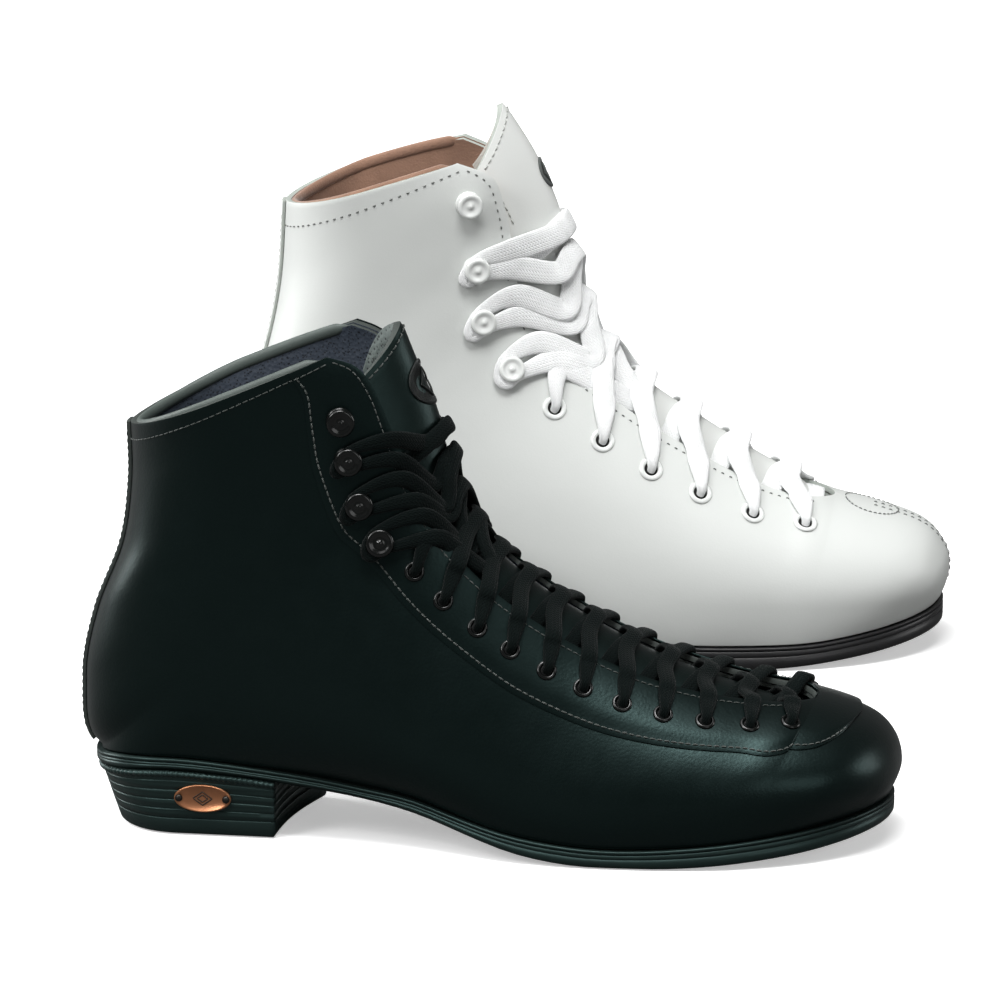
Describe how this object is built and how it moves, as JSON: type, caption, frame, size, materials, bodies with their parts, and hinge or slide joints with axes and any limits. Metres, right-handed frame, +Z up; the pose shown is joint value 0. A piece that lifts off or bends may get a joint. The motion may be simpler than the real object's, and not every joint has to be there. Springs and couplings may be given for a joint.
{
  "type": "skating boots",
  "caption": "Lace-up leather skating boots with padded tongues, eyelets above the foot, speed hooks up the shaft, leather soles and stacked heels, ready for blades to be fixed underneath.",
  "frame": {"origin": "on the floor, under the middle of the black boot's heel", "axes": "+X from the black boot's heel to its toe, +Y from its outer side to its inner side and on to the white boot, +Z up; the white boot is turned 6 degrees about Z"},
  "size_m": [0.2923, 0.3678, 0.21],
  "materials": {
    "sole_black": "satin painted leather sole",
    "welt_black": "satin",
    "heel_black": "satin stacked leather",
    "lift_black": "satin",
    "nail_steel": "plain",
    "plaque_copper": "dull copper",
    "pin_dark": "dark",
    "shank_steel": "plain",
    "cork": "matt cork",
    "insole_board": "matt",
    "footbed_black": "satin",
    "stiffener": "matt",
    "leather_black": "satin, fine pebble grain",
    "lining_black": "satin, grained",
    "facing_black": "satin, rolled edge",
    "tongue_black": "satin, padded",
    "badge_black": "woven",
    "enamel_black": "gloss",
    "lace_black": "matt braid",
    "sole_dark": "satin painted leather sole",
    "welt_dark": "satin",
    "heel_dark": "satin stacked leather",
    "lift_dark": "satin",
    "footbed_tan": "satin",
    "leather_white": "satin, smooth",
    "lining_tan": "suede",
    "facing_tan": "suede",
    "tongue_white": "satin, padded",
    "badge_grey": "woven",
    "enamel_white": "gloss",
    "lace_white": "matt flat weave"
  },
  "bodies": {
    "black_boot": {"black_outsole": "sole_black", "black_welt": "welt_black", "black_heel_block": "heel_black", "black_heel_lift": "lift_black", "black_heel_nails": "nail_steel", "black_heel_plaque": "plaque_copper", "black_plaque_pins": "pin_dark", "black_shank": "shank_steel", "black_filler": "cork", "black_insole": "insole_board", "black_footbed": "footbed_black", "black_counter": "stiffener", "black_toe_box": "stiffener", "black_quarter_lateral": "leather_black", "black_quarter_medial": "leather_black", "black_lining": "lining_black", "black_facing": "facing_black", "black_backstay": "leather_black", "black_eyestay_lateral": "leather_black", "black_eyestay_medial": "leather_black", "black_tongue": "tongue_black", "black_eyelets_lateral": "enamel_black", "black_eyelets_medial": "enamel_black", "black_hooks_lateral": "enamel_black", "black_hooks_medial": "enamel_black", "black_lace": "lace_black"},
    "black_flap": {"black_tongue_flap": "tongue_black", "black_tongue_badge": "badge_black"},
    "white_boot": {"white_outsole": "sole_dark", "white_welt": "welt_dark", "white_heel_block": "heel_dark", "white_heel_lift": "lift_dark", "white_heel_nails": "nail_steel", "white_shank": "shank_steel", "white_filler": "cork", "white_insole": "insole_board", "white_footbed": "footbed_tan", "white_counter": "stiffener", "white_toe_box": "stiffener", "white_quarter_lateral": "leather_white", "white_quarter_medial": "leather_white", "white_lining": "lining_tan", "white_facing": "facing_tan", "white_backstay": "leather_white", "white_tongue": "tongue_white", "white_eyelets_lateral": "enamel_white", "white_eyelets_medial": "enamel_white", "white_hooks_lateral": "enamel_white", "white_hooks_medial": "enamel_white", "white_lace": "lace_white"},
    "white_flap": {"white_tongue_flap": "tongue_white", "white_tongue_badge": "badge_grey"}
  },
  "joints": [
    {"name": "black_tongue_bend", "type": "hinge", "parent": "black_boot", "child": "black_flap", "pos_m": [0.081, 0, 0.1514], "axis": [0, 1, 0], "range_deg": [0, 30], "stiffness_Nm_per_rad": 0.1},
    {"name": "white_boot_lift", "type": "slide", "parent": "black_boot", "child": "white_boot", "axis": [0, 0, 1], "range_m": [0, 0.3]},
    {"name": "white_tongue_bend", "type": "hinge", "parent": "white_boot", "child": "white_flap", "pos_m": [0.08512, 0.25805, 0.171], "axis": [-0.1045, 0.9945, 0], "range_deg": [0, 30], "stiffness_Nm_per_rad": 0.1}
  ]
}
